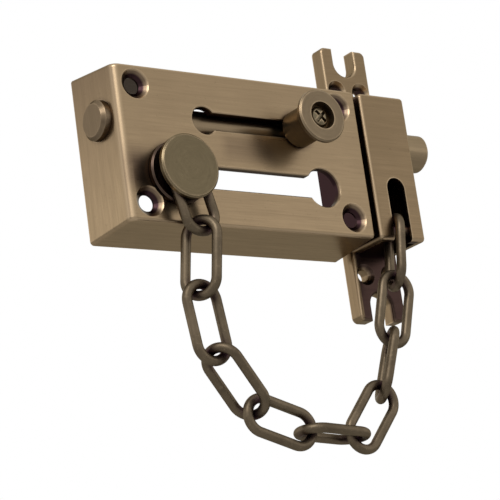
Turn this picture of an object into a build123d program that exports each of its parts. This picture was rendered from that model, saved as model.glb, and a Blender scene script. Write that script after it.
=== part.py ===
from build123d import *
import math
import os

os.makedirs("parts", exist_ok=True)

# Frame: X runs along the bolt towards the keeper, the front looks to -Y,
# Z is up. The mounting plane is y = 0 and the origin is the middle of the
# four screw holes of the case. Millimetres throughout.

# Case
case_length = 74.0
case_height = 40.0
case_depth = 16.5
draft_ends = 1.5
draft_sides = 1.4
front_wall = 2.3
side_wall = 2.3
front_left_round = 2.6
front_right_round = 0.7
rim_round = 1.0
screw_span_x = 62.0
screw_span_z = 30.0
screw_hole_d = 4.2
screw_sink_d = 7.8
slot_edge_break = 0.25

# Bolt rod and its knob
rod_d = 10.0
rod_y = -9.0
rod_z = 7.4
rod_running_gap = 0.08
rod_tail_out = 2.1
rod_tip_out = 8.8
rod_edge_break = 0.9
bolt_travel = 28.3
knob_x = 16.6
knob_slot_w = 4.6
knob_slot_round_d = 7.2
knob_stem_gap = 0.08
knob_lift = 0.2
knob_barrel_d = 9.6
knob_barrel_h = 6.4
knob_head_d = 13.9
knob_head_rim = 1.2
knob_height = 11.0
knob_edge_break = 0.4
knob_recess_d = 7.2
knob_recess_depth = 2.6
knob_seat_depth = 1.5
knob_bore_d = 3.1

# Screw that holds the knob on the rod
screw_head_d = 5.4
screw_head_h = 1.8
screw_shank_d = 3.0
screw_shank_l = 14.0
screw_slot_w = 0.9
screw_slot_depth = 0.9
screw_seat_gap = 0.03

# Chain button and its keyhole
button_x = -22.4
button_travel = 45.0
keyhole_z = -7.5
keyhole_slot_w = 5.8
keyhole_round_d = 10.3
button_stem_gap = 0.08
button_back_d = 9.4
button_back_h = 1.6
button_back_gap = 0.25
button_lift = 0.2
button_flange_d = 16.0
button_flange_h = 1.5
button_neck_d = 2.8
button_neck_h = 3.3
button_disc_d = 16.3
button_disc_h = 1.6
button_edge_break = 0.4

# Keeper
keeper_gap = 1.9
keeper_width = 15.0
keeper_height = 40.0
keeper_depth = 16.5
keeper_wall = 2.2
keeper_front_wall = 2.3
keeper_cavity_top = 19.5
keeper_bore_gap = 0.4
keeper_slot_w = 5.8
keeper_slot_h = 17.0
keeper_round = 1.1
plate_height = 76.0
plate_thickness = 4.0
plate_round = 0.8
notch_w = 7.0
notch_depth = 7.8
prong_tip_round = 1.6
keeper_hole_d = 3.4
keeper_sink_d = 5.8
keeper_hole_span_x = 8.0
keeper_hole_span_z = 51.2

# Cross pin in the keeper
pin_d = 2.6
pin_fit = 0.02
pin_rise = 3.4
pin_end_gap = 0.3

# Chain: links numbered from the button to the keeper
wire_d = 2.5
link_length = 21.4
link_width = 11.0
link_gap = 0.38
first_link_gap = 0.15
link_angles = (13.38, -7.16, 6.92, 36.60, 72.34, 86.74, 140.04, 156.53, 162.88, 168.62)
link_turns = (0.0, 27.0, 0.0, 22.0, 0.0, 0.0, 0.0, 25.0, 0.0, 18.0)

# Values that follow from the sizes above
front_y = -case_depth
half_l = case_length / 2
half_h = case_height / 2
rod_r = rod_d / 2
keeper_x0 = half_l + keeper_gap
keeper_xc = keeper_x0 + keeper_width / 2
keeper_x1 = keeper_x0 + keeper_width
keeper_bottom = -keeper_height / 2
pin_y = -keeper_depth + keeper_front_wall
pin_z = keeper_bottom + pin_rise
left_face_x = -half_l - draft_ends * (case_depth + rod_y) / case_depth


def front_plane(x, y, z):
    """Plane that looks to the front: its X is X, its Y is Z."""
    return Plane(origin=(x, y, z), x_dir=(1, 0, 0), z_dir=(0, -1, 0))


def side_plane(x, y, z):
    """Plane that looks along +X."""
    return Plane(origin=(x, y, z), x_dir=(0, 1, 0), z_dir=(1, 0, 0))


def turned(outline):
    """Solid turned round the local Z axis from points of radius and height."""
    points = [(r, 0, h) for r, h in outline]
    face = make_face(Polyline(*points, close=True).edges())
    return revolve(face, Axis.Z, 360)


def at_front(x, z, solid):
    """Places a turned solid with its height measured from the case's front."""
    return front_plane(x, front_y, z) * solid


def edges_at(shape, test):
    """Edges whose middle point passes the test."""
    return ShapeList([e for e in shape.edges() if test(e, e.center(CenterOf.MASS))])


def near(a, b, tol=0.05):
    return abs(a - b) < tol


def block_between(x0, x1, y0, y1, z0, z1):
    centre = Pos((x0 + x1) / 2, (y0 + y1) / 2, (z0 + z1) / 2)
    return centre * Box(x1 - x0, y1 - y0, z1 - z0)


def along_x(radius, x0, x1, y, z):
    return side_plane(x0, y, z) * extrude(Circle(radius), x1 - x0)


def half_height_at(y):
    """Half height of the case's outside at a depth y."""
    return half_h + draft_sides * (1 + y / case_depth)


def outer_block():
    """Outside of the case: its plan with both front corners, cut to the draft above and below."""
    left, right = -half_l, half_l
    corners = [(left - draft_ends, 0), (right, 0), (right, front_y), (left, front_y)]
    plan = Sketch() + make_face(Polyline(*corners, close=True).edges())
    plan = fillet([v for v in plan.vertices() if near(v.X, left) and near(v.Y, front_y)], front_left_round)
    plan = fillet([v for v in plan.vertices() if near(v.X, right) and near(v.Y, front_y)], front_right_round)
    tall = half_height_at(0)
    block = Pos(0, 0, -tall) * extrude(plan, 2 * tall)
    lean = math.degrees(math.atan2(draft_sides, case_depth))
    for side in (-1, 1):
        above = Pos(0, front_y, side * half_h) * Rot(side * lean, 0, 0)
        waste = Box(3 * case_length, 3 * case_length, case_height)
        block -= above * Pos(0, 0, side * case_height / 2) * waste
    rims = edges_at(block, lambda e, c: near(abs(c.Z), half_height_at(c.Y)) and c.Y < -0.01)
    return fillet(rims, rim_round)


def hollow_block():
    """Inside of the case, its sides parallel to the outside."""
    faces = []
    for y in (1.0, front_y + front_wall):
        left = -half_l - draft_ends * (1 + y / case_depth) + side_wall
        right = half_l - side_wall
        sketch = Rectangle(right - left, 2 * (half_height_at(y) - side_wall))
        faces.append((front_plane((left + right) / 2, y, 0) * sketch).face())
    return loft(faces)


# Case: a hollow casting, open at the back
case = outer_block() - hollow_block()

sink_r = screw_sink_d / 2
hole_r = screw_hole_d / 2
sink_outline = [
    (0, 1),
    (sink_r + 1, 1),
    (hole_r, hole_r - sink_r),
    (hole_r, -front_wall - 1),
    (0, -front_wall - 1),
]
for sx in (-1, 1):
    for sz in (-1, 1):
        sink = turned(sink_outline)
        case -= at_front(sx * screw_span_x / 2, sz * screw_span_z / 2, sink)

slot_left = knob_x - bolt_travel
knob_slot = Pos((slot_left + knob_x) / 2, rod_z) * SlotCenterToCenter(bolt_travel, knob_slot_w)
knob_slot += Pos(slot_left, rod_z) * Circle(knob_slot_round_d / 2)
keyhole_right = button_x + button_travel
keyhole = Pos((button_x + keyhole_right) / 2, keyhole_z)
keyhole *= SlotCenterToCenter(button_travel, keyhole_slot_w)
keyhole += Pos(keyhole_right, keyhole_z) * Circle(keyhole_round_d / 2)
for opening in (knob_slot, keyhole):
    cutter = front_plane(0, front_y + front_wall + 1, 0) * opening
    case -= extrude(cutter, front_wall + 2)
lips = edges_at(
    case,
    lambda e, c: near(c.Y, front_y, 0.02)
    and (near(c.Z, rod_z, 3.8) or near(c.Z, keyhole_z, 5.4))
    and -half_l + 8 < c.X < half_l - 8,
)
case = chamfer(lips, slot_edge_break)
case -= along_x(rod_r + rod_running_gap, -half_l - 5, half_l + 5, rod_y, rod_z)
export_step(case, "parts/case.step")

# Bolt rod: round bar with a seat for the knob
rod_x0 = left_face_x - rod_tail_out
rod_x1 = keeper_x1 + rod_tip_out
bolt_rod = along_x(rod_r, rod_x0, rod_x1, rod_y, rod_z)
bolt_rod = chamfer(bolt_rod.edges().filter_by(GeomType.CIRCLE), rod_edge_break)
seat_y = rod_y - rod_r + knob_seat_depth
seat_r = knob_slot_w / 2 - knob_stem_gap + screw_seat_gap
seat = front_plane(knob_x, seat_y, rod_z)
bolt_rod -= seat * extrude(Circle(seat_r), rod_r)
shank_r = screw_shank_d / 2
tapped = front_plane(knob_x, rod_y + rod_r + 1, rod_z)
bolt_rod -= tapped * extrude(Circle(shank_r + screw_seat_gap), 2 * rod_r)
export_step(bolt_rod, "parts/bolt_rod.step")

# Knob: turned, flared to a head with a recess for its screw
stem_r = knob_slot_w / 2 - knob_stem_gap
barrel_r = knob_barrel_d / 2
head_r = knob_head_d / 2
stem_end = front_y - seat_y
recess_z = knob_height - knob_recess_depth
rim_z = knob_height - knob_head_rim
flare = ThreePointArc(
    (barrel_r, 0, knob_barrel_h),
    (barrel_r + (head_r - barrel_r) * 0.3, 0, knob_barrel_h + (rim_z - knob_barrel_h) * 0.62),
    (head_r, 0, rim_z),
)
knob_line = [
    Line((knob_bore_d / 2, 0, stem_end), (stem_r, 0, stem_end)),
    Line((stem_r, 0, stem_end), (stem_r, 0, knob_lift)),
    Line((stem_r, 0, knob_lift), (barrel_r - 0.3, 0, knob_lift)),
    Line((barrel_r - 0.3, 0, knob_lift), (barrel_r, 0, knob_lift + 0.3)),
    Line((barrel_r, 0, knob_lift + 0.3), (barrel_r, 0, knob_barrel_h)),
    flare,
    Line((head_r, 0, rim_z), (head_r, 0, knob_height - knob_edge_break)),
    Line((head_r, 0, knob_height - knob_edge_break), (head_r - knob_edge_break, 0, knob_height)),
    Line((head_r - knob_edge_break, 0, knob_height), (knob_recess_d / 2, 0, knob_height)),
    Line((knob_recess_d / 2, 0, knob_height), (knob_recess_d / 2, 0, recess_z)),
    Line((knob_recess_d / 2, 0, recess_z), (knob_bore_d / 2, 0, recess_z)),
    Line((knob_bore_d / 2, 0, recess_z), (knob_bore_d / 2, 0, stem_end)),
]
knob_face = make_face([e for line in knob_line for e in line.edges()])
knob = at_front(knob_x, rod_z, revolve(knob_face, Axis.Z, 360))
export_step(knob, "parts/knob.step")

# Knob screw: cross-slotted raised head on a plain shank
head_top = recess_z + screw_seat_gap + screw_head_h
screw_outline = [
    (0, recess_z + screw_seat_gap - screw_shank_l),
    (shank_r - 0.4, recess_z + screw_seat_gap - screw_shank_l),
    (shank_r, recess_z + screw_seat_gap - screw_shank_l + 0.4),
    (shank_r, recess_z + screw_seat_gap),
    (screw_head_d / 2, recess_z + screw_seat_gap),
    (screw_head_d / 2, head_top - 0.9),
    (screw_head_d / 2 - 0.5, head_top - 0.3),
    (screw_head_d / 2 - 1.2, head_top),
    (0, head_top),
]
knob_screw = turned(screw_outline)
for turn in (45, 135):
    bar = Rot(0, 0, turn) * Box(screw_head_d * 0.72, screw_slot_w, screw_slot_depth * 2)
    knob_screw -= Pos(0, 0, head_top) * bar
knob_screw = at_front(knob_x, rod_z, knob_screw)
export_step(knob_screw, "parts/knob_screw.step")

# Chain button: turned spool with a head behind the wall
b_stem = keyhole_slot_w / 2 - button_stem_gap
b_back = button_back_d / 2
b_flange = button_flange_d / 2
b_neck = button_neck_d / 2
b_disc = button_disc_d / 2
z_back1 = -front_wall - button_back_gap
z_back0 = z_back1 - button_back_h
z_flange = button_lift + button_flange_h
z_disc0 = z_flange + button_neck_h
z_disc1 = z_disc0 + button_disc_h
eb = button_edge_break
button_outline = [
    (0, z_back0),
    (b_back - eb, z_back0),
    (b_back, z_back0 + eb),
    (b_back, z_back1),
    (b_stem, z_back1),
    (b_stem, button_lift),
    (b_flange, button_lift),
    (b_flange, z_flange - eb),
    (b_flange - eb, z_flange),
    (b_neck, z_flange),
    (b_neck, z_disc0),
    (b_disc - 0.2, z_disc0),
    (b_disc, z_disc0 + 0.2),
    (b_disc, z_disc1 - eb),
    (b_disc - eb, z_disc1),
    (0, z_disc1),
]
chain_button = at_front(button_x, keyhole_z, turned(button_outline))
export_step(chain_button, "parts/chain_button.step")

# Keeper: one casting, a hollow block on a plate with forked ends
plate_half = plate_height / 2
keeper = block_between(keeper_x0, keeper_x1, -plate_thickness, 0, -plate_half, plate_half)
tips = edges_at(keeper, lambda e, c: near(abs(c.Z), plate_half) and near(c.Y, -plate_thickness / 2))
keeper = fillet(tips, prong_tip_round)
for sz in (-1, 1):
    tip = sz * plate_half
    foot = sz * (plate_half - notch_depth + notch_w / 2)
    low, high = min(tip + sz, foot), max(tip + sz, foot)
    notch = Pos(keeper_xc, (low + high) / 2) * Rectangle(notch_w, high - low)
    notch += Pos(keeper_xc, foot) * Circle(notch_w / 2)
    keeper -= extrude(front_plane(0, 1, 0) * notch, plate_thickness + 2)
plate_lips = edges_at(keeper, lambda e, c: near(c.Y, -plate_thickness, 0.02))
keeper = fillet(plate_lips, plate_round)
block = block_between(
    keeper_x0, keeper_x1, -keeper_depth, -plate_thickness / 2, keeper_bottom, -keeper_bottom
)
block_edges = edges_at(
    block,
    lambda e, c: near(c.Y, -keeper_depth)
    or (near(abs(c.Z), -keeper_bottom) and near(c.Y, -(keeper_depth + plate_thickness / 2) / 2)),
)
block = fillet(block_edges, keeper_round)
keeper += block
cavity_top = keeper_bottom + keeper_cavity_top
keeper -= block_between(
    keeper_x0 + keeper_wall,
    keeper_x1 - keeper_wall,
    -keeper_depth + keeper_front_wall,
    -plate_thickness,
    keeper_bottom - 1,
    cavity_top,
)
slot_top = keeper_bottom + keeper_slot_h - keeper_slot_w / 2
slot_low = keeper_bottom - 1
slot = Pos(keeper_xc, (slot_low + slot_top) / 2) * Rectangle(keeper_slot_w, slot_top - slot_low)
slot += Pos(keeper_xc, slot_top) * Circle(keeper_slot_w / 2)
slot_plane = front_plane(0, -keeper_depth + keeper_front_wall + 0.5, 0)
keeper -= extrude(slot_plane * slot, keeper_front_wall + 2)
keeper -= along_x(rod_r + keeper_bore_gap, keeper_x0 - 1, keeper_x1 + 1, rod_y, rod_z)
pin_r = pin_d / 2
pin_x0 = keeper_x0 + keeper_wall / 3
keeper -= along_x(pin_r + pin_fit, pin_x0, keeper_x1 + 1, pin_y, pin_z)
k_hole = keeper_hole_d / 2
k_sink = keeper_sink_d / 2
keeper_sink = [
    (0, 1),
    (k_sink + 1, 1),
    (k_hole, k_hole - k_sink),
    (k_hole, -plate_thickness - 1),
    (0, -plate_thickness - 1),
]
for sx in (-1, 1):
    for sz in (-1, 1):
        spot = front_plane(
            keeper_xc + sx * keeper_hole_span_x / 2,
            -plate_thickness,
            sz * keeper_hole_span_z / 2,
        )
        keeper -= spot * turned(keeper_sink)
export_step(keeper, "parts/keeper.step")

# Keeper pin: pressed in from the right, the last link hangs on it
keeper_pin = along_x(pin_r, pin_x0 + pin_end_gap, keeper_x1 - pin_end_gap, pin_y, pin_z)
keeper_pin = chamfer(keeper_pin.edges().filter_by(GeomType.CIRCLE), 0.25)
export_step(keeper_pin, "parts/keeper_pin.step")

# Chain: ten links of round wire, each hung in the one before
wire_r = wire_d / 2
chain_front_y = front_y - z_disc0 + first_link_gap + wire_r
bend_r = (link_width - wire_d) / 2
span = link_length - wire_d
straight = span - 2 * bend_r
step = wire_d + link_gap
first_drop = b_neck + link_gap + wire_r


def plain_link():
    """Link in the XY plane, its length along Y."""
    bend = Torus(bend_r, wire_r, major_angle=180, align=None)
    half_turn = Pos(0, straight / 2, 0) * bend
    other = Rot(0, 0, 180) * half_turn
    leg = Rot(90, 0, 0) * Cylinder(wire_r, straight)
    return half_turn + other + Pos(bend_r, 0, 0) * leg + Pos(-bend_r, 0, 0) * leg


pivot = Vector(button_x, chain_front_y, keyhole_z)
y_step = (pin_y - chain_front_y) / 5
pivots = [pivot]
for i, angle in enumerate(link_angles):
    a = math.radians(angle)
    down = Vector(math.sin(a), 0, -math.cos(a))
    across = Vector(math.cos(a), 0, math.sin(a))
    if i % 2 == 0:
        drop = first_drop if i == 0 else step
        start = pivot - down * drop
        axis = down
        pivot = start + down * (span - step)
    else:
        start = pivot
        slope = y_step / span
        axis = down * math.sqrt(1 - slope**2) + Vector(0, slope, 0)
        pivot = start + axis * span
        turn = math.radians(link_turns[i])
        across = Vector(0, -1, 0) * math.cos(turn) + across * math.sin(turn)
    across = (across - axis * across.dot(axis)).normalized()
    middle = start + axis * (span / 2)
    place = Plane(origin=middle, x_dir=across, z_dir=across.cross(axis))
    link = place * plain_link()
    pivots.append(pivot)
    export_step(link, f"parts/chain_link_{i + 1:02d}.step")

for number, point in enumerate(pivots):
    print(number, round(point.X, 4), round(point.Y, 4), round(point.Z, 4))
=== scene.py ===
"""Looks of a door bolt with chain: camera, soft light and procedural antique brass."""

import math

import bpy
from mathutils import Matrix, Vector


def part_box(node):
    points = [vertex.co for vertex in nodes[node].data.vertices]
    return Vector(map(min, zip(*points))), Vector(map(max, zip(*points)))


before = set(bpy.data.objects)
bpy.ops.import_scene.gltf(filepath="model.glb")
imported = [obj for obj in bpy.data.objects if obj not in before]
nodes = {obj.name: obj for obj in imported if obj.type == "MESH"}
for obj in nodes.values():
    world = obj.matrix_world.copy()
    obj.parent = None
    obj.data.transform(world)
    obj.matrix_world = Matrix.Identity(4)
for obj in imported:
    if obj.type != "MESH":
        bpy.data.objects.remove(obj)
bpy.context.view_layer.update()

MM = 0.001

# Camera: the photograph's place and direction, closer in by the zoom
CAMERA_TARGET = Vector((2.99, -8.0, -22.53)) * MM
CAMERA_DISTANCE = 553.4 * MM
CAMERA_AZIMUTH = -37.42
CAMERA_ELEVATION = -16.19
CAMERA_ROLL = 8.04
SENSOR_WIDTH = 36.0
PHOTO_LENS = 71.3
CLOSE_IN = 2.25
NEAREST_SEEN = 10 * MM

# Floor and world
FLOOR_Z = -0.30
FLOOR_SIZE = 12.0
FLOOR_COLOUR = (0.84, 0.84, 0.8316)
SKY_SEEN = 1.0
SKY_LIGHT = 0.55

# Lamps: place in metres, width in metres, watts, all turned to one point
LAMP_AIM = (0.0, 0.0, -0.02)
LAMPS = {
    "key": ((-0.60, -0.55, 0.65), 0.5, 3.6),
    "fill": ((0.70, -0.60, -0.05), 0.6, 0.3),
    "side": ((-0.72, 0.55, 0.10), 0.5, 0.26),
}

# Colours, linear
BRASS = (0.316, 0.227, 0.134)
# Brass of the keeper, deepened as painted shade
KEEPER_SHADED_BRASS = (0.235, 0.165, 0.094)
KNOB_BRASS = (0.202, 0.150, 0.093)
ROD_BRASS = (0.275, 0.204, 0.123)
DISC_BRASS = (0.149, 0.116, 0.067)
SCREW_BRONZE = (0.170, 0.138, 0.085)
# Rubbed metal on edges, also the painted highlight on the rounded edges
RUB_AND_HIGHLIGHT = (0.50, 0.37, 0.235)
# Dark patina in recesses, also the colour of the painted shade
DARK = (0.027, 0.012, 0.016)
GRAZING = (0.65, 0.62, 0.55)
CHAIN_TONE = (0.152, 0.116, 0.076)
CHAIN_RUBBED = (0.29, 0.220, 0.140)
CHAIN_DARK = (0.036, 0.012, 0.023)

# Brush marks: noise cells in a metre, and how much of each axis the noise sees
FINE_MARKS = 3400.0
COARSE_MARKS = 1100.0
FINE_SHARE = 0.55
ALONG = (0.03, 1, 1)
UPRIGHT = (1, 1, 0.04)
EVEN = (1, 1, 1)
METRES_PER_RADIAN = 0.001
MARK_DEPTH = 0.010 * MM
MARK_TONES = (0.90, 1.07)
LOW_GRAIN_ROUGHER = 0.05
HIGH_GRAIN_SMOOTHER = 0.04

# Patina of the brass: noise cells in a metre, then the tone and greatest share of each layer
CLOUDS = 70.0
CLOUD_TONE = 0.74
CLOUD_SHARE = 0.35
SPECKS = 1100.0
SPECK_SHARE = 0.25
# Painted shade towards the top: it grows from minus to plus this height, to this tone and greatest share
TOP_SHADE_HEIGHT = 20 * MM
TOP_SHADE_TONE = 0.70
TOP_SHADE_SHARE = 0.30
# Reach of the patina in recesses
RECESS_REACH = 2.2 * MM
# Share of painted shade inside the case, and in the keeper's cavity and bore
INSIDE_SHADE = 0.98

# Rubbed edges: noise cells in a metre, width in metres, and share from patch to patch
WORN_PATCHES = 260.0
WORN_WIDTH = 0.75 * MM
WORN_SHARES = (0.35, 0.9)

# The chain's wire: noise cells in a metre, then tone, shares, roughness and reaches in metres
WIRE_CLOUDS = 160.0
WIRE_CLOUD_TONE = 0.66
WIRE_SPECKS = 1500.0
WIRE_SPECK_SHARE = 0.5
WIRE_RECESS_SHARE = 0.95
WIRE_RECESS_REACH = 5.0 * MM
WIRE_ROUGHNESS = (0.36, 0.48)
WIRE_DEPTH = 0.02 * MM

# Masks: the reading where each is 0, then the reading where it is full
SHARP_EDGE = (0.995, 0.86)
FILLET_OFF_SIDE = (0.25, 0.5)
FILLET_OFF_FRONT = (0.98, 0.85)
FACING_AN_END = (0.4, 0.7)
CLOSED_IN = (0.85, 0.35)

# Sizes and places in millimetres that the nodes' boxes don't tell
KEEPER_BLOCK_HALF = 20.0
KEEPER_PLATE_THICKNESS = 4.0
KEEPER_HOLE_Z = 25.6
ROD_SHOWS_FROM = -14.0
ROD_SHOWS_TO = 22.0


def add_node(tree, kind, inputs=None, **settings):
    """Adds a shader node. Each input takes a constant or another node's output."""
    node = tree.nodes.new(kind)
    for key, value in settings.items():
        setattr(node, key, value)
    for key, value in (inputs or {}).items():
        if isinstance(value, bpy.types.NodeSocket):
            tree.links.new(value, node.inputs[key])
        else:
            node.inputs[key].default_value = value
    return node


class Shader:
    """A material under construction. Its methods return outputs that feed each other."""

    def __init__(self, name):
        self.material = bpy.data.materials.new(name)
        self.material.use_nodes = True
        self.tree = self.material.node_tree
        self.tree.nodes.clear()
        coordinates = self.add("ShaderNodeTexCoord").outputs
        self.place = coordinates["Object"]
        self.normal = coordinates["Normal"]

    def add(self, kind, inputs=None, **settings):
        """Adds a node to this material."""
        return add_node(self.tree, kind, inputs, **settings)

    def math(self, operation, a, b=0.0):
        """Result of a sum on one or two numbers."""
        return self.add("ShaderNodeMath", {0: a, 1: b}, operation=operation).outputs[0]

    def product(self, first, *others):
        """All the numbers multiplied."""
        for other in others:
            first = self.math("MULTIPLY", first, other)
        return first

    def rest_of(self, share):
        """What a share leaves of 1."""
        return self.math("SUBTRACT", 1.0, share)

    def vector(self, operation, a, b):
        """Node of a sum on two vectors."""
        return self.add("ShaderNodeVectorMath", {0: a, 1: b}, operation=operation)

    def split(self, value):
        """The three numbers of a vector."""
        return self.add("ShaderNodeSeparateXYZ", {0: value}).outputs

    def spread(self, value, low, high, to_low=0.0, to_high=1.0):
        """Value from low to high brought to another range, and held at its ends."""
        inputs = {"Value": value, "From Min": low, "From Max": high, "To Min": to_low, "To Max": to_high}
        return self.add("ShaderNodeMapRange", inputs, clamp=True).outputs["Result"]

    def blend(self, share, a, b):
        """Colour a where share is 0 and colour b where it is 1."""
        inputs = {"Factor": share}
        for index, colour in ((6, a), (7, b)):
            inputs[index] = colour if isinstance(colour, bpy.types.NodeSocket) else (*colour, 1.0)
        return self.add("ShaderNodeMix", inputs, data_type="RGBA").outputs[2]

    def noise(self, scale, stretch=EVEN, detail=2.0, place=None):
        """Noise from 0 to 1, its cells drawn out where stretch is small."""
        scaled = self.vector("MULTIPLY", place or self.place, stretch).outputs[0]
        inputs = {"Vector": scaled, "Scale": scale, "Detail": detail, "Roughness": 0.55}
        return self.add("ShaderNodeTexNoise", inputs).outputs["Fac"]

    def marks(self, place, stretch):
        """Fine and coarse brush marks together."""
        fine = self.product(self.noise(FINE_MARKS, stretch, place=place), FINE_SHARE)
        coarse = self.product(self.noise(COARSE_MARKS, stretch, place=place), 1 - FINE_SHARE)
        return self.math("ADD", fine, coarse)

    def within(self, zone, share):
        """Share inside a zone of the piece's own space, fading to 0 over its soft border."""
        for place, start, end, soft in zip(self.split(self.place), *zone):
            above = self.spread(place, start - soft / 2, start + soft / 2)
            below = self.spread(place, end - soft / 2, end + soft / 2, 1.0, 0.0)
            share = self.product(above, below, share)
        return share

    def edges(self, radius):
        """Near 1 along sharp edges, 0 on open faces."""
        rounded = self.add("ShaderNodeBevel", {"Radius": radius}, samples=6).outputs[0]
        true = self.add("ShaderNodeNewGeometry").outputs["Normal"]
        facing = self.vector("DOT_PRODUCT", rounded, true).outputs["Value"]
        return self.spread(facing, *SHARP_EDGE)

    def fillets(self):
        """Near 1 where the surface turns from the front to a side, 0 on the front and the sides."""
        facing = self.math("ABSOLUTE", self.split(self.normal)[1])
        off_side = self.spread(facing, *FILLET_OFF_SIDE)
        return self.product(off_side, self.spread(facing, *FILLET_OFF_FRONT))

    def hollows(self, reach):
        """Near 1 in corners and recesses, 0 in the open."""
        occlusion = self.add("ShaderNodeAmbientOcclusion", {"Distance": reach}, samples=8)
        return self.spread(occlusion.outputs["AO"], *CLOSED_IN)

    def metal(self, colour, roughness, height, depth):
        """Closes the material as bare metal, which height from 0 to 1 raises by up to depth."""
        bump = self.add("ShaderNodeBump", {"Height": height, "Distance": depth, "Strength": 1.0})
        surface = {
            "Base Color": colour,
            "Metallic": 1.0,
            "Roughness": roughness,
            "Specular Tint": (*GRAZING, 1.0),
            "Normal": bump.outputs["Normal"],
        }
        shader = self.add("ShaderNodeBsdfPrincipled", surface)
        self.add("ShaderNodeOutputMaterial", {"Surface": shader.outputs["BSDF"]})
        return self.material


def tone(colour, factor):
    """A colour made lighter or deeper."""
    return tuple(channel * factor for channel in colour)


def turned_place(shader, centre):
    """Place on a turned piece whose axis is Y: its grain runs round the axis."""
    offset = shader.vector("SUBTRACT", shader.place, centre).outputs[0]
    x, y, z = shader.split(offset)
    angle = shader.math("ARCTAN2", z, x)
    squares = shader.math("ADD", shader.product(x, x), shader.product(z, z))
    radius = shader.math("SQRT", squares)
    along_round = shader.product(angle, METRES_PER_RADIAN)
    return shader.add("ShaderNodeCombineXYZ", {0: radius, 1: y, 2: along_round}).outputs[0]


def brushed(shader, centre):
    """Brush marks: along the front and the underside, up and down the ends, or round a turned piece."""
    if centre is not None:
        return shader.marks(turned_place(shader, centre), EVEN)
    along = shader.marks(shader.place, ALONG)
    upright = shader.marks(shader.place, UPRIGHT)
    sideways = shader.math("ABSOLUTE", shader.split(shader.normal)[0])
    on_end = shader.spread(sideways, *FACING_AN_END)
    elsewhere = shader.rest_of(on_end)
    return shader.math("ADD", shader.product(along, elsewhere), shader.product(upright, on_end))


def patina(shader, base, grain):
    """Brass before its wear: brush marks, patina in clouds and specks, and painted shade towards the
    top.
    """
    deeper, lighter = (tone(base, factor) for factor in MARK_TONES)
    colour = shader.blend(shader.spread(grain, 0.36, 0.64), deeper, lighter)
    height = shader.split(shader.place)[2]
    # Painted shade: the brass darker towards the top
    painted_shade_towards_top = shader.spread(height, -TOP_SHADE_HEIGHT, TOP_SHADE_HEIGHT, 0.0, TOP_SHADE_SHARE)
    colour = shader.blend(painted_shade_towards_top, colour, tone(base, TOP_SHADE_TONE))
    clouds = shader.spread(shader.noise(CLOUDS, detail=4.0), 0.42, 0.75, 0.0, CLOUD_SHARE)
    colour = shader.blend(clouds, colour, tone(base, CLOUD_TONE))
    specks = shader.spread(shader.noise(SPECKS, detail=3.0), 0.64, 0.80, 0.0, SPECK_SHARE)
    return shader.blend(specks, colour, DARK)


def wear(shader, colour, hollow, fillets):
    """Rubs the open edges in patches, and lightens the rounded edges of the front by the share of
    fillets, as rubbed metal and painted highlight.
    """
    in_the_open = shader.rest_of(hollow)
    patches = shader.spread(shader.noise(WORN_PATCHES), 0.35, 0.6, *WORN_SHARES)
    on_edges = shader.product(shader.edges(WORN_WIDTH), in_the_open, patches)
    colour = shader.blend(on_edges, colour, RUB_AND_HIGHLIGHT)
    # Rubbed metal and painted highlight on the rounded edges of the front
    if fillets:
        fillet_rub_and_highlight = shader.product(shader.fillets(), in_the_open, fillets)
        colour = shader.blend(fillet_rub_and_highlight, colour, RUB_AND_HIGHLIGHT)
    return colour


def antique_brass(name, base=BRASS, centre=None, zones=(), smooth=0.30, tarnish=0.70, fillets=0.0):
    """Satin antique brass: brush marks, cloudy patina, rubbed edges, dark recesses, painted shade and
    highlights.

    base is the colour under the patina, and centre the middle of a turned piece. Each of zones is a
    place with its share of DARK, painted there as shade, and on the rod's tail as a darker tone. smooth
    is the roughness where the grain is even, tarnish the share of dark patina in recesses, and fillets
    the share of rubbed metal and painted highlight on rounded edges.
    """
    shader = Shader(name)
    grain = brushed(shader, centre)
    colour = patina(shader, base, grain)
    hollow = shader.hollows(RECESS_REACH)
    colour = shader.blend(shader.product(hollow, tarnish), colour, DARK)
    colour = wear(shader, colour, hollow, fillets)
    for zone, share in zones:
        colour = shader.blend(shader.within(zone, share), colour, DARK)
    rough_marks = (smooth + LOW_GRAIN_ROUGHER, smooth - HIGH_GRAIN_SMOOTHER)
    roughness = shader.spread(grain, 0.3, 0.7, *rough_marks)
    return shader.metal(colour, roughness, grain, MARK_DEPTH)


def chain_bronze():
    """Dark bronzed wire in clouds, with rubbed specks and dark recesses."""
    shader = Shader("chain_bronze")
    clouds = shader.noise(WIRE_CLOUDS, detail=4.0)
    specks = shader.noise(WIRE_SPECKS, detail=3.0)
    cloudy = tone(CHAIN_TONE, WIRE_CLOUD_TONE)
    colour = shader.blend(shader.spread(clouds, 0.35, 0.7), CHAIN_TONE, cloudy)
    rubbed = shader.spread(specks, 0.58, 0.8, 0.0, WIRE_SPECK_SHARE)
    colour = shader.blend(rubbed, colour, CHAIN_RUBBED)
    recesses = shader.product(shader.hollows(WIRE_RECESS_REACH), WIRE_RECESS_SHARE)
    colour = shader.blend(recesses, colour, CHAIN_DARK)
    roughness = shader.spread(clouds, 0.3, 0.7, *WIRE_ROUGHNESS)
    return shader.metal(colour, roughness, specks, WIRE_DEPTH)


class Sides:
    """Where a node's sides lie at rest, in millimetres."""

    def __init__(self, name):
        low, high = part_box(name)
        self.left, self.front, self.bottom = low / MM
        self.right, self.back, self.top = high / MM


def centre_of(name):
    """Middle of a node at rest, in metres."""
    low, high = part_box(name)
    return (low + high) / 2


def zone_at(x, y, z, soft=(0.4, 0.4, 0.4)):
    """Zone from and to on each axis, with its soft border, turned from millimetres to metres."""
    low, high = zip(x, y, z)
    return tuple(Vector(corner) * MM for corner in (low, high, soft))


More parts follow.
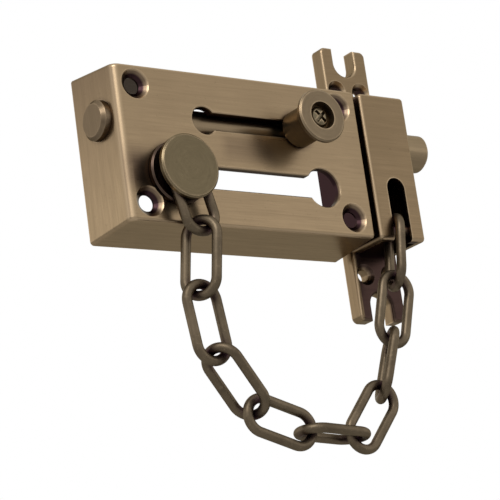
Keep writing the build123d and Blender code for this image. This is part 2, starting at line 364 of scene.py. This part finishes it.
def case_brass():
    """Case: painted shade inside, on the hole walls, below the knob, by the button and high on its end.
    """
    case = Sides("case")
    on_front = (case.front - 1.0, case.front + 1.0)
    # Painted shade inside the case
    inside = zone_at(
        (case.left + 1.9, case.right - 1.0),
        (case.front + 0.9, case.back + 1.0),
        (case.bottom + 1.9, case.top - 1.9),
    )
    # Painted shade on the walls of the holes and slots just behind the front
    hole_wall_shade = zone_at(
        (case.left + 4.3, case.right - 1.0),
        (case.front + 0.3, case.front + 1.2),
        (case.bottom + 2.8, case.top - 2.8),
        soft=(0.8, 0.3, 0.3),
    )
    # Painted shade high on the left end, fading downwards
    end_top_shade = zone_at(
        (case.left - 1.5, case.left + 1.7),
        (case.front - 1.5, case.back + 1.0),
        (4.0, 40.0),
        soft=(0.8, 1.0, 34.0),
    )
    # Painted shade on the front below the knob
    shade_under_knob = zone_at((-7.0, 8.0), on_front, (-2.0, 4.0), soft=(3.0, 1.0, 3.0))
    # Painted shadow on the front to the left of the button
    shadow_by_button = zone_at((-36.0, -30.0), on_front, (-12.0, -2.5), soft=(4.0, 1.0, 5.0))
    zones = [
        (shade_under_knob, 0.28),
        (shadow_by_button, 0.65),
        (end_top_shade, 0.34),
        (hole_wall_shade, 0.60),
        (inside, INSIDE_SHADE),
    ]
    return antique_brass("case_brass", zones=zones, fillets=0.6)


def keeper_brass():
    """Keeper: painted shade in the cavity and bore, in the gap, in its upper holes and below its block.
    """
    keeper = Sides("keeper")
    rod = Sides("bolt_rod")
    plate_front = keeper.back - KEEPER_PLATE_THICKNESS
    # Painted shade in the cavity under the keeper's block
    cavity = zone_at(
        (keeper.left + 2.3, keeper.right - 2.3),
        (keeper.front + 0.7, plate_front + 0.1),
        (-KEEPER_BLOCK_HALF - 1.0, -0.3),
    )
    # Painted shade in the rod's bore through the keeper
    bore = zone_at(
        (keeper.left - 0.9, keeper.left + 0.4),
        (rod.front - 0.5, rod.back + 0.5),
        (rod.bottom - 0.4, rod.top + 0.4),
    )
    # Painted shade on the keeper's side facing the gap to the case
    gap_shade = zone_at(
        (keeper.left - 1.9, keeper.left + 0.3),
        (keeper.front + 0.7, plate_front + 1.0),
        (-KEEPER_BLOCK_HALF + 0.6, KEEPER_BLOCK_HALF - 0.6),
        soft=(0.4, 1.0, 1.0),
    )
    # Painted shadow of the block on the plate below it
    block_shadow_on_plate = zone_at(
        (keeper.left + 1.0, keeper.right + 2.1),
        (plate_front - 0.8, plate_front + 1.0),
        (keeper.bottom - 2.0, -KEEPER_BLOCK_HALF + 3.0),
        soft=(0.5, 1.0, 6.0),
    )
    # Painted shade in the upper screw holes
    upper_hole_shade = zone_at(
        (keeper.left + 1.0, keeper.right - 1.0),
        (plate_front + 0.7, keeper.back - 0.4),
        (KEEPER_HOLE_Z - 3.1, KEEPER_HOLE_Z + 3.1),
    )
    zones = [
        (block_shadow_on_plate, 0.88),
        (gap_shade, 0.85),
        (upper_hole_shade, 0.90),
        (cavity, INSIDE_SHADE),
        (bore, INSIDE_SHADE),
    ]
    return antique_brass("keeper_brass", KEEPER_SHADED_BRASS, zones=zones, fillets=0.5)


def rod_brass():
    """Rod: darker on its tail, and painted shade where it shows through the knob's slot."""
    rod = Sides("bolt_rod")
    through = (rod.front - 1.0, rod.back + 1.0)
    upright = (rod.bottom - 1.0, rod.top + 1.0)
    soft = (2.0, 0.4, 0.4)
    tail = zone_at((rod.left - 3.0, ROD_SHOWS_FROM), through, upright, soft)
    # Painted shade where the rod shows through the knob's slot
    slot_shade = zone_at((ROD_SHOWS_FROM, ROD_SHOWS_TO), through, upright, soft)
    return antique_brass("rod_brass", ROD_BRASS, zones=[(slot_shade, 0.15), (tail, 0.40)])


def button_brass():
    """Chain button: a clean disc, and painted shade behind it."""
    button = Sides("chain_button")
    # Painted shade on the flange and neck behind the disc
    shade_behind_disc = zone_at(
        (button.left - 2.0, button.right + 2.0),
        (button.front + 1.5, button.back + 2.0),
        (button.bottom - 2.0, button.top + 2.0),
        soft=(1.0, 0.6, 1.0),
    )
    centre = centre_of("chain_button")
    return antique_brass("button_brass", DISC_BRASS, centre, zones=[(shade_behind_disc, 0.75)])


def dress(name, material):
    """Gives a node's own object its material, and leaves its mesh alone."""
    for slot in nodes[name].material_slots:
        slot.link = "OBJECT"
        slot.material = material


def dress_all():
    """Gives each node its finish."""
    dress("case", case_brass())
    dress("keeper", keeper_brass())
    dress("bolt_rod", rod_brass())
    knob_centre = centre_of("knob")
    dress("knob", antique_brass("knob_brass", KNOB_BRASS, knob_centre, smooth=0.38, tarnish=0.15))
    dress("knob_screw", antique_brass("screw_bronze", SCREW_BRONZE, knob_centre, tarnish=0.25))
    dress("chain_button", button_brass())
    wire = chain_bronze()
    dress("keeper_pin", wire)
    for name in nodes:
        if name.startswith("chain_link"):
            dress(name, wire)


def add_camera():
    """Camera at the photograph's angle, with its roll."""
    azimuth, elevation, roll = map(math.radians, (CAMERA_AZIMUTH, CAMERA_ELEVATION, CAMERA_ROLL))
    back = Vector((
        math.sin(azimuth) * math.cos(elevation),
        -math.cos(azimuth) * math.cos(elevation),
        math.sin(elevation),
    ))
    right = (-back).cross(Vector((0, 0, 1))).normalized()
    up = back.cross(right)
    rolled_right = right * math.cos(roll) - up * math.sin(roll)
    rolled_up = right * math.sin(roll) + up * math.cos(roll)
    data = bpy.data.cameras.new("camera")
    data.sensor_width = SENSOR_WIDTH
    data.lens = PHOTO_LENS * CLOSE_IN
    data.clip_start = NEAREST_SEEN
    camera = bpy.data.objects.new("camera", data)
    bpy.context.scene.collection.objects.link(camera)
    axes = Matrix((rolled_right, rolled_up, back)).transposed().to_4x4()
    camera.matrix_world = Matrix.Translation(CAMERA_TARGET + back * CAMERA_DISTANCE) @ axes
    bpy.context.scene.camera = camera


def add_floor():
    """Pale floor well below the part, clear from underneath."""
    half = FLOOR_SIZE / 2
    corners = [(-half, -half), (half, -half), (half, half), (-half, half)]
    mesh = bpy.data.meshes.new("floor")
    mesh.from_pydata([(x, y, FLOOR_Z) for x, y in corners], [], [(0, 1, 2, 3)])
    floor = bpy.data.objects.new("floor", mesh)
    bpy.context.scene.collection.objects.link(floor)
    shader = Shader("floor_pale")
    matt = shader.add("ShaderNodeBsdfDiffuse", {"Color": (*FLOOR_COLOUR, 1.0)})
    clear = shader.add("ShaderNodeBsdfTransparent")
    under = shader.add("ShaderNodeNewGeometry").outputs["Backfacing"]
    both = shader.add("ShaderNodeMixShader", {0: under, 1: matt.outputs[0], 2: clear.outputs[0]})
    shader.add("ShaderNodeOutputMaterial", {"Surface": both.outputs[0]})
    mesh.materials.append(shader.material)


def add_sky():
    """World that is white where it is seen, mirrored or seen through glass, and dimmer as light."""
    world = bpy.data.worlds.new("sky")
    bpy.context.scene.world = world
    world.use_nodes = True
    tree = world.node_tree
    tree.nodes.clear()
    rays = add_node(tree, "ShaderNodeLightPath").outputs
    seen = rays["Is Camera Ray"]
    for kind in ("Is Glossy Ray", "Is Transmission Ray"):
        seen = add_node(tree, "ShaderNodeMath", {0: seen, 1: rays[kind]}, operation="MAXIMUM").outputs[0]
    levels = {"Value": seen, "To Min": SKY_LIGHT, "To Max": SKY_SEEN}
    strength = add_node(tree, "ShaderNodeMapRange", levels).outputs["Result"]
    white = {"Color": (1, 1, 1, 1), "Strength": strength}
    background = add_node(tree, "ShaderNodeBackground", white)
    add_node(tree, "ShaderNodeOutputWorld", {"Surface": background.outputs[0]})


def add_lamp(name, place, size, watts):
    """Square soft box at place, turned to the lamps' aim."""
    data = bpy.data.lights.new(name, "AREA")
    data.shape = "SQUARE"
    data.size = size
    data.energy = watts
    lamp = bpy.data.objects.new(name, data)
    lamp.location = place
    lamp.rotation_euler = (Vector(LAMP_AIM) - Vector(place)).to_track_quat("-Z", "Y").to_euler()
    bpy.context.scene.collection.objects.link(lamp)


add_camera()
add_floor()
add_sky()
for name, (place, size, watts) in LAMPS.items():
    add_lamp(name, place, size, watts)
bpy.context.scene.view_settings.view_transform = "Standard"
dress_all()
